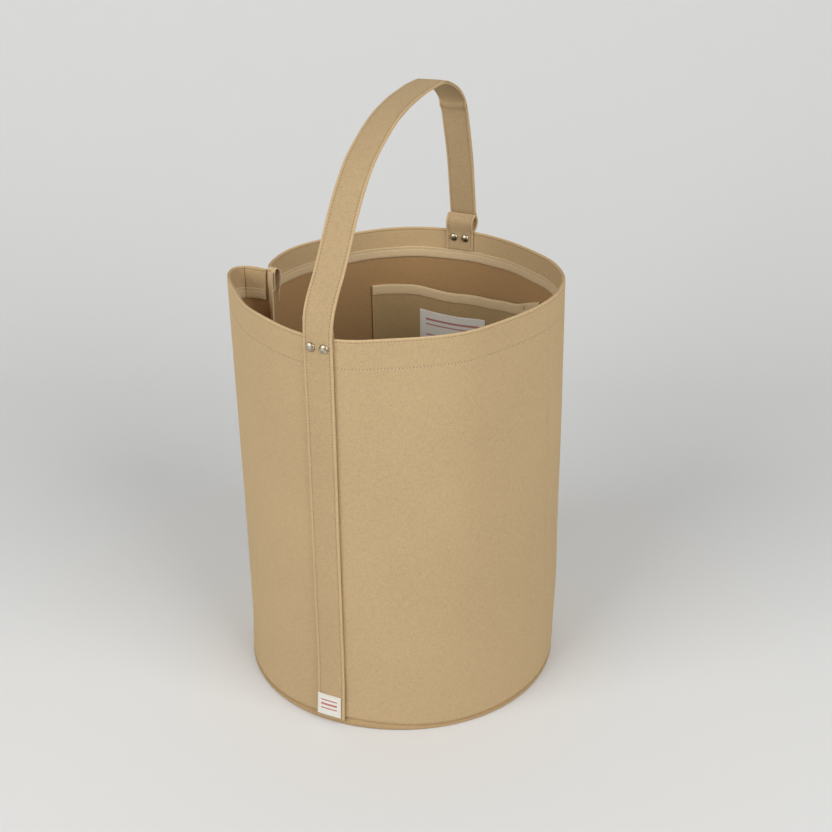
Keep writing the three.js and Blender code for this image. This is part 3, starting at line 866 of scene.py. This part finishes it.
def loop_surface(x, y):
    """x runs across the tape, from the seam inwards; y walks over the fold and down."""
    side = np.interp(y, loop_walk, loop_line[:, 0])
    height = np.interp(y, loop_walk, loop_line[:, 1])
    left = np.clip((loop_walk[-1] - y) / 22, 0.04, 1)
    depth = LOOP_FOOT + LOOP_WIDTH * (0.5 + (x / LOOP_WIDTH - 0.5) * left) + 1.6 * (1 - left)
    here, inwards, across = seam_frame(np.minimum(height, RIM_HEIGHT))
    turned = inwards * math.cos(LOOP_TURN) - across * math.sin(LOOP_TURN)
    out = LOOP_FOOT * inwards + (depth - LOOP_FOOT)[:, None] * turned
    flat = here + out + side[:, None] * across
    return np.column_stack([flat, height])


rows = even(0, loop_walk[-1], 0.9)
bm = lay(flat_piece(even(0, LOOP_WIDTH, 1.0), rows, "left right", 1.4), loop_surface)
piece = make_object("left_seam_tape_end", bm, tape_cloth)
on_bag(thicken(piece, 0.7))


def right_binding(x, y, n=0.0):
    return wall(0.5 + x / GIRTH, y, -1.6 - ridge(x, 12.5, 1.7) - n)


bm = lay(flat_piece(even(-6, 6, 1.2), even(18, 383, 6), "left right", 2.0), right_binding)
piece = make_object("right_seam_binding", bm, tape_cloth)
on_bag(thicken(piece, 0.8, offset=1.0), "right_seam_tape")

# %% [markdown]
# ## The carry strap
# One strap of two plies goes up the front, makes the handle, and comes down the back.
# Its line in the middle plane is followed by length. On the wall it wraps with the
# wall, and above the rim it flattens. Rows of stitching draw the plies together near
# both edges, which leaves a raised welt outside them.

# %% The strap's line
MID = 1.65
ARCH = [
    (-175.4, 421), (-173.6, 431), (-170.2, 441), (-161.5, 454), (-150, 468), (-137, 487),
    (-121, 511), (-107, 528.5), (-87, 547.5), (-62, 562.5), (-36, 574.5), (-5, 582.5), (29, 587),
    (60, 589), (80, 587.5), (106, 578), (124, 566), (134, 551), (142, 529), (152, 497),
    (158.6, 466), (161.4, 451), (163.6, 440), (167.0, 432.4), (170.6, 427.6), (171.3, 422.6),
    (168.0, 418.6), (162.9, 416.7), (160.6, 413.8), (160.4, 408), (160.4, 401),
]
HANDLE_CORNER = (131, 556)


def wall_line(u, heights):
    points = wall(np.full(len(heights), u), np.array(heights, float), MID)
    return [(point[1], point[2]) for point in points]


front_line = wall_line(FRONT_STRAP, [7, 60, 120, 180, 240, 300, 350, 385, 405])
back_line = wall_line(BACK_STRAP, [390, 350, 300, 240, 180, 120, 60, 7])
strap_line = smooth_line([*front_line, *ARCH, *back_line])[:, :2]
strap_walk = lengths_along(strap_line)
STRAP_LENGTH = strap_walk[-1]
slope = np.gradient(strap_line, axis=0)
slope /= np.linalg.norm(slope, axis=1)[:, None]
crown = float(strap_walk[np.argmax(strap_line[:, 1])])
to_corner = np.hypot(*(strap_line - HANDLE_CORNER).T)
corner = float(strap_walk[np.argmin(to_corner)])
print(f"the strap is {STRAP_LENGTH:.0f} mm long, and its crown is at {crown:.0f} mm")

STITCH_INSET = 2.8
STRAP_LEAN = 4.4


def strap_surface(x, s, n=0.0):
    """x across the strap, s along it, n outwards from the middle between the plies."""
    y = np.interp(s, strap_walk, strap_line[:, 0])
    z = np.interp(s, strap_walk, strap_line[:, 1])
    run_y = np.interp(s, strap_walk, slope[:, 0])
    run_z = np.interp(s, strap_walk, slope[:, 1])
    on_front = s < crown
    x = x - STRAP_LEAN * np.clip(1 - z / RIM_HEIGHT, 0, 1) * on_front
    u = np.where(on_front, FRONT_STRAP + x / GIRTH, BACK_STRAP - x / GIRTH)
    middle = np.where(on_front, FRONT_STRAP, BACK_STRAP)
    wrap = wall(u, z) - wall(middle, z)
    held = 1 - np.clip((z - 412) / 34, 0, 1)
    held = held * held * (3 - 2 * held)
    point = np.column_stack([np.zeros(len(s)), y - run_z * n, z + run_y * n])
    point[:, 0] += x * (1 - held) + wrap[:, 0] * held
    point[:, 1] += wrap[:, 1] * held
    return point


def ply_height(x, s, outer):
    """How far a ply's face stands from the middle; the inner one buckles at the corner."""
    edge = STRAP_WIDTH / 2 - np.abs(x)
    drawn = groove(edge - STITCH_INSET, 0.38, 0.8)
    soft = 0.22 * np.cos(np.pi * x / STRAP_WIDTH)
    waves = 0.12 * np.sin(s / 17 + x / 9) + 0.08 * np.sin(s / 5.3)
    if outer:
        return 1.32 + drawn + soft + waves
    past = s - corner
    fold = 1.5 * np.exp(-((past / 3.2) ** 2)) - 0.6 * np.exp(-(((past + 8) / 5) ** 2))
    return 1.32 + drawn + soft + waves + fold


def strap_columns(half):
    """Lines across the strap, close together where the stitches draw it in."""
    row = half - STITCH_INSET
    near_row = [row + step for step in (-1.6, -0.8, -0.4, 0, 0.4, 0.8, 1.6)]
    edge = np.array([*near_row, half])
    return np.concatenate([-edge[::-1], even(-row + 3, row - 3, 2.4), edge])


strap_pieces = []
for ply, side, nodes in (
    ("outer", 1, ("front_strap_outer_ply", "handle_outer_ply", "back_strap_outer_ply")),
    ("inner", -1, ("front_strap_inner_ply", "handle_inner_ply", "back_strap_inner_ply")),
):
    half = STRAP_WIDTH / 2 - (0.0 if side > 0 else 0.25)
    bm = flat_piece(strap_columns(half), even(0, STRAP_LENGTH, 2.4), "left right", 2.4)
    lay(bm, lambda x, s: strap_surface(x, s, side * ply_height(x, s, side > 0)))
    piece = make_object(f"carry_strap_{ply}_ply", bm, strap_canvas)
    thicken(piece, CANVAS, offset=-side, edge=0.45)
    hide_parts(*nodes)
    strap_pieces.append(report(piece))

# %% [markdown]
# ## Tabs
# A short canvas tab backs each end of the handle inside the rim. It stands above the
# rim, where its top leans out against the strap.

# %% Front and back tabs
TAB_LINE = {
    "front": [(396.9, 0), (410, 0), (417, 0.2), (424, 2.2), (429, 2.6), (434, 2.7)],
    "back": [
        (396.9, 0), (411, 0), (416, -0.2), (421, -1.4), (426, -2.0), (430, -1.2), (433, 1.2),
        (436, 5.6),
    ],
}
TAB_HALF = 15.4
TAB_THICKNESS = 1.1
TAB_DEPTH = 3.4


def tab_surface(side):
    line = smooth_line(TAB_LINE[side])[:, :2]
    walk = lengths_along(line)
    middle = FRONT_STRAP if side == "front" else BACK_STRAP

    def surface(x, y, n=0.0):
        z = np.interp(y, walk, line[:, 0])
        lean = np.interp(y, walk, line[:, 1])
        edge = TAB_HALF - np.abs(x)
        drawn = -groove(edge - STITCH_INSET, 0.35, 0.8)
        return wall(middle + x / GIRTH, z, lean - TAB_DEPTH - TAB_THICKNESS + drawn - n)

    return surface, walk[-1]


tabs = {}
for side in ("front", "back"):
    surface, height = tab_surface(side)
    tabs[side] = (surface, height)
    bm = flat_piece(strap_columns(TAB_HALF), even(0, height, 1.0), "left right high", 2.4)
    lay(bm, surface)
    piece = make_object(f"{side}_rivet_tab", bm, strap_canvas)
    on_bag(thicken(piece, TAB_THICKNESS, offset=1.0, edge=0.45), f"{side}_tab")

# %% [markdown]
# ## Rivets
# Each rivet is a domed brass cap outside and another inside. Half a dome's profile is
# spun into a closed button and turned to face the way the frame's rivet does.

# %% Rivet caps
DOME = [
    (0, 2.05), (1.3, 1.98), (2.5, 1.68), (3.4, 1.22), (4.05, 0.62), (4.3, 0.2), (4.2, -0.05),
    (0, -0.1),
]
DOME_HEIGHT = DOME[0][1]
for end in ("front", "back"):
    for hand in ("left", "right"):
        for part in ("cap", "base"):
            low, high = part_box(f"rivet_{part}_{end}_{hand}")
            outwards = -1 if end == "front" else 1
            facing = outwards if part == "cap" else -outwards
            crown_y = high.y if facing > 0 else low.y
            bm = turned(DOME, 32)
            bmesh.ops.recalc_face_normals(bm, faces=bm.faces)
            point = Matrix.Rotation(-facing * math.pi / 2, 4, "X")
            seat = crown_y - facing * DOME_HEIGHT * MM
            centre = Vector(((low.x + high.x) / 2, seat, (low.z + high.z) / 2))
            bmesh.ops.transform(bm, matrix=Matrix.Translation(centre) @ point, verts=bm.verts)
            name = f"{end}_{hand}_rivet_{'head' if part == 'cap' else 'foot'}"
            piece = make_object(name, bm, brass)
            on_bag(piece, f"rivet_{part}_{end}_{hand}")

# %% [markdown]
# ## Pocket
# The pocket is a flat panel sewn to the back wall at its sides. Its mouth is held only
# at its two ends, so it stands off the wall in a shallow curve and its bound edge waves.

# %% Pocket panel, its binding and its label
POCKET_LEFT = 124 / 360 + 0.5
POCKET_RIGHT = 48 / 360 + 0.5
POCKET_WIDTH = (POCKET_LEFT - POCKET_RIGHT) * GIRTH
POCKET_LOW = 204.0
POCKET_HEIGHT = 150.0
MOUTH_AT = [0, 0.08, 0.15, 0.23, 0.31, 0.38, 0.46, 0.54, 0.62, 0.69, 0.77, 0.85, 0.92, 1]
MOUTH_HEIGHT = [354.5, 354, 353.5, 353, 350.5, 349.5, 349.5, 350.5, 352, 352.5, 354, 356.5, 361, 366]
MOUTH_STAND = [0, 0.8, 2.4, 5.3, 8.3, 10.5, 11.5, 11.9, 11.7, 11.2, 10.2, 8.2, 4.8, 0]
mouth_height = smooth_line(list(zip(MOUTH_AT, MOUTH_HEIGHT)), 8)[:, :2]
mouth_stand = smooth_line(list(zip(MOUTH_AT, MOUTH_STAND)), 8)[:, :2]


def pocket_surface(x, y, n=0.0):
    """x from the pocket's left edge, y up from its bottom; n is towards the wall."""
    share = x / POCKET_WIDTH
    top = np.interp(share, mouth_height[:, 0], mouth_height[:, 1])
    stand = np.interp(share, mouth_stand[:, 0], mouth_stand[:, 1])
    up = y / POCKET_HEIGHT
    z = POCKET_LOW + (top - POCKET_LOW) * up
    belly = stand * np.sin(np.pi / 2 * np.clip(up, 0, 1))
    edge = np.minimum(x, POCKET_WIDTH - x)
    folded = 0.5 * np.clip(1 - edge / 6, 0, 1)
    return wall(POCKET_LEFT - x / GIRTH, z, n - 2.7 - belly - folded)


bm = flat_piece(even(0, POCKET_WIDTH, 3), even(0, POCKET_HEIGHT, 3), "left right", 2.5)
lay(bm, pocket_surface)
# The pocket takes the darker canvas copy, painted shade.
piece = make_object("inner_pocket", bm, pocket_canvas_shaded)
on_bag(thicken(piece, CANVAS), "pocket_panel")

MOUTH_FOLD = [
    (-1.0, -10.4), (-1.15, -9.4), (-1.3, -5), (-1.2, -1.4), (-0.7, 0.2), (0.6, 0.7),
    (1.9, 0.2), (2.3, -1.6), (2.3, -10),
]
fold_walk = lengths_along(np.array(MOUTH_FOLD))


def mouth_binding(x, y, n=0.0):
    share = x / POCKET_WIDTH
    up = np.interp(y, fold_walk, [point[1] for point in MOUTH_FOLD])
    out = np.interp(y, fold_walk, [point[0] for point in MOUTH_FOLD])
    dimple = 1.6 * np.exp(-(((share - 0.905) / 0.018) ** 2) - ((up + 5) / 4) ** 2)
    wave = 0.5 * np.sin(x / 8) * np.clip((share - 0.2) / 0.4, 0, 1)
    return pocket_surface(x, POCKET_HEIGHT + up + wave, out - n + dimple)


bm = flat_piece(even(0.2, POCKET_WIDTH - 0.2, 2.2), even(0, fold_walk[-1], 0.8), "low", 2.0)
lay(bm, mouth_binding)
piece = make_object("pocket_binding", bm, tape_cloth)
on_bag(thicken(piece, 0.8), "pocket_mouth_tape")

# %% [markdown]
# The labels are small woven ribbons. Their print is a few plain stripes, drawn from
# the ribbon's own UV map, and stands for no maker.

# %% Label finish
def label_cloth(name, bars, colour):
    """Off-white ribbon with bars given as (left, right, low, high) in millimetres."""
    material = woven(name, linear(224, 221, 213), pitch=0.35, depth=0.08, contrast=0.07, worn=0.1)
    tree = material.node_tree
    shader = tree.nodes["Principled BSDF"]
    ground = shader.inputs["Base Color"].links[0].from_socket
    uv_map = tree.nodes.new("ShaderNodeUVMap")
    uv_map.uv_map = "cloth"
    axes = node(tree, "ShaderNodeSeparateXYZ", i0=uv_map.outputs["UV"])
    printed = None
    for left, right, low, high in bars:
        inside = [
            maths(tree, "COMPARE", axes.outputs[axis], (start + end) / 2 * MM, (end - start) / 2 * MM)
            for axis, start, end in (("X", left, right), ("Y", low, high))
        ]
        bar = maths(tree, "MULTIPLY", *inside)
        printed = bar if printed is None else maths(tree, "MAXIMUM", printed, bar)
    patchy = maths(tree, "MULTIPLY_ADD", noise(tree, uv_map.outputs["UV"], 900.0), 0.5, 0.55)
    ink = maths(tree, "MULTIPLY", printed, patchy)
    ink.node.use_clamp = True
    mix = tree.nodes.new("ShaderNodeMix")
    mix.data_type = "RGBA"
    put(tree, mix, "i0", ink)
    tree.links.new(ground, mix.inputs[6])
    mix.inputs[7].default_value = (*colour, 1)
    tree.links.new(mix.outputs[2], shader.inputs["Base Color"])
    return material


MUTED_RED = linear(170, 72, 62)
LABEL_LEFT = (124 - 105.5) / 360 * GIRTH
LABEL_WIDTH = 86.0
LABEL_LOW = 79.0
LABEL_HEIGHT = 45.0


def pocket_label_surface(x, y, n=0.0):
    dip = 1.2 * np.sin(np.pi * x / LABEL_WIDTH) * y / LABEL_HEIGHT
    ripple = 0.3 * np.sin(x / 6) * y / LABEL_HEIGHT
    return pocket_surface(LABEL_LEFT + x, LABEL_LOW + y - dip, -0.6 - ripple - n)


POCKET_BARS = [(7, 79, 33.5, 36), (7, 79, 28, 29.5), (7, 79, 10, 12.5), (7, 79, 15, 16.5)]
pocket_print = label_cloth("pocket label ribbon", POCKET_BARS, MUTED_RED)
bm = lay(flat_piece(even(0, LABEL_WIDTH, 2), even(0, LABEL_HEIGHT, 2.5)), pocket_label_surface)
piece = make_object("pocket_ribbon_label", bm, pocket_print)
on_bag(thicken(piece, 0.5, edge=0.15), "pocket_label")

STRAP_LABEL_LOW = 10.0
STRAP_LABEL_HEIGHT = 24.0
STRAP_LABEL_WIDTH = 25.7


def strap_label_surface(x, y, n=0.0):
    s = y - 7 + STRAP_LABEL_LOW
    return strap_surface(x - STRAP_WIDTH / 2, s, 2.15 + 0.1 * np.sin(x / 4) + n)


STRAP_BARS = [(4, 21.7, 16.5, 18), (4, 21.7, 11.2, 13.8), (4, 21.7, 7, 8.5)]
strap_print = label_cloth("strap label ribbon", STRAP_BARS, MUTED_RED)
bm = flat_piece(even(0.2, STRAP_LABEL_WIDTH, 1.2), even(0, STRAP_LABEL_HEIGHT, 1.2))
lay(bm, strap_label_surface)
piece = make_object("strap_ribbon_label", bm, strap_print)
on_bag(thicken(piece, 0.45, edge=0.15), "strap_label")

# %% [markdown]
# ## All the stitching
# Every seam is one piece. The strap's own rows bend with it at the handle's ends, so
# they are kept apart from the rest.

# %% Stitches on the bag
def steps(low, high, gap=1.5):
    return np.linspace(low, high, max(3, int((high - low) / gap)))


def row_on(surface, x, low, high):
    """One straight row up a piece, at x on its pattern."""
    ys = steps(low, high)
    return line_on(surface, np.full(len(ys), float(x)), ys)


def row_across(surface, y, left, right):
    """One row from left to right, at y on the piece's pattern."""
    xs = steps(left, right)
    return line_on(surface, xs, np.full(len(xs), float(y)))


def round_rows(surface, y, first, clear):
    """A row round the bag in three parts, which stop short of the two straps."""
    front, back = FRONT_STRAP * GIRTH, BACK_STRAP * GIRTH
    spans = [(first, front - clear), (front + clear, back - clear), (back + clear, GIRTH - 3)]
    return [row_across(surface, y, left, right) for left, right in spans]


def inner_facing(x, y, n=0.0):
    return facing_surface(x, y, -CANVAS - n)


strap_clear = STRAP_WIDTH / 2 + 1
hem = round_rows(body_surface, HEM_LINE, 3, strap_clear)
on_bag(sew("hem_stitches", hem, finish=cream_thread, lift=0.16))
on_bag(sew("rim_stitches_outside", round_rows(body_surface, RIM_LINE, 3, strap_clear)))
on_bag(sew("rim_stitches_inside", round_rows(inner_facing, RIM_LINE, 2, 16)))
rows = [row_across(tape_surface, TAPE_STITCH_LINE, *span) for span in facing_parts.values()]
on_bag(sew("facing_tape_stitches", rows, holes=False))

row_at = TAB_HALF - STITCH_INSET
for side in ("front", "back"):
    surface, height = tabs[side]
    rows = [row_on(surface, x, 1.5, height - 2.5) for x in (-row_at, row_at)]
    on_bag(sew(f"{side}_tab_stitches", rows))


def pocket_face(x, y, n=0.0):
    return pocket_surface(x, y, -n)


SIDE_INSET = 3.0
SIDE_ROW_TOP = 139
LABEL_INSET = 2.0
far = POCKET_WIDTH - SIDE_INSET
rows = [row_on(pocket_face, x, 2, SIDE_ROW_TOP) for x in (SIDE_INSET, far)]
rows.append(row_across(pocket_face, SIDE_INSET, SIDE_INSET, far))
on_bag(sew("pocket_stitches", rows))
rows = [row_across(mouth_binding, 2.0, SIDE_INSET, far)]
on_bag(sew("pocket_binding_stitches", rows, holes=False))

right, top = LABEL_WIDTH - LABEL_INSET, LABEL_HEIGHT - LABEL_INSET
rows = [row_across(pocket_label_surface, y, LABEL_INSET, right) for y in (LABEL_INSET, top)]
rows += [row_on(pocket_label_surface, x, LABEL_INSET, top) for x in (LABEL_INSET, right)]
on_bag(sew("pocket_label_stitches", rows, finish=cream_thread, holes=False))

right, top = STRAP_LABEL_WIDTH - 1.6, STRAP_LABEL_HEIGHT - 1.5
rows = [row_on(strap_label_surface, x, 1.5, top) for x in (1.6, right)]
rows.append(row_across(strap_label_surface, top, 1.6, right))
on_bag(sew("strap_label_stitches", rows, finish=cream_thread, holes=False))

# %% Stitches on the strap
INNER_ROW_START = 385.0


def strap_row(side, ply_outer):
    """A row near one edge; on the inner ply it runs only where the strap leaves the wall."""
    x = side * (STRAP_WIDTH / 2 - STITCH_INSET)
    sign = 1 if ply_outer else -1
    first = 1.0 if ply_outer else INNER_ROW_START
    s = steps(first, STRAP_LENGTH - first)
    across = np.full(len(s), x)
    height = ply_height(across, s, ply_outer)
    at = strap_surface(across, s, sign * height)
    above = strap_surface(across, s, sign * (height + 1))
    return at, above - at


for ply_outer, word in ((True, "outside"), (False, "inside")):
    rows = [strap_row(side, ply_outer) for side in (-1, 1)]
    strap_pieces.append(report(sew(f"strap_stitches_{word}", rows)))

# %% [markdown]
# ## The strap's placement
# The strap's plies and their stitches each run in one piece from the front wall over the
# handle to the back wall. Their placement is baked into their points.

# %% Bake the strap's placement into its points
for piece in strap_pieces:
    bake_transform(piece)
print("blended:", [piece.name for piece in strap_pieces])
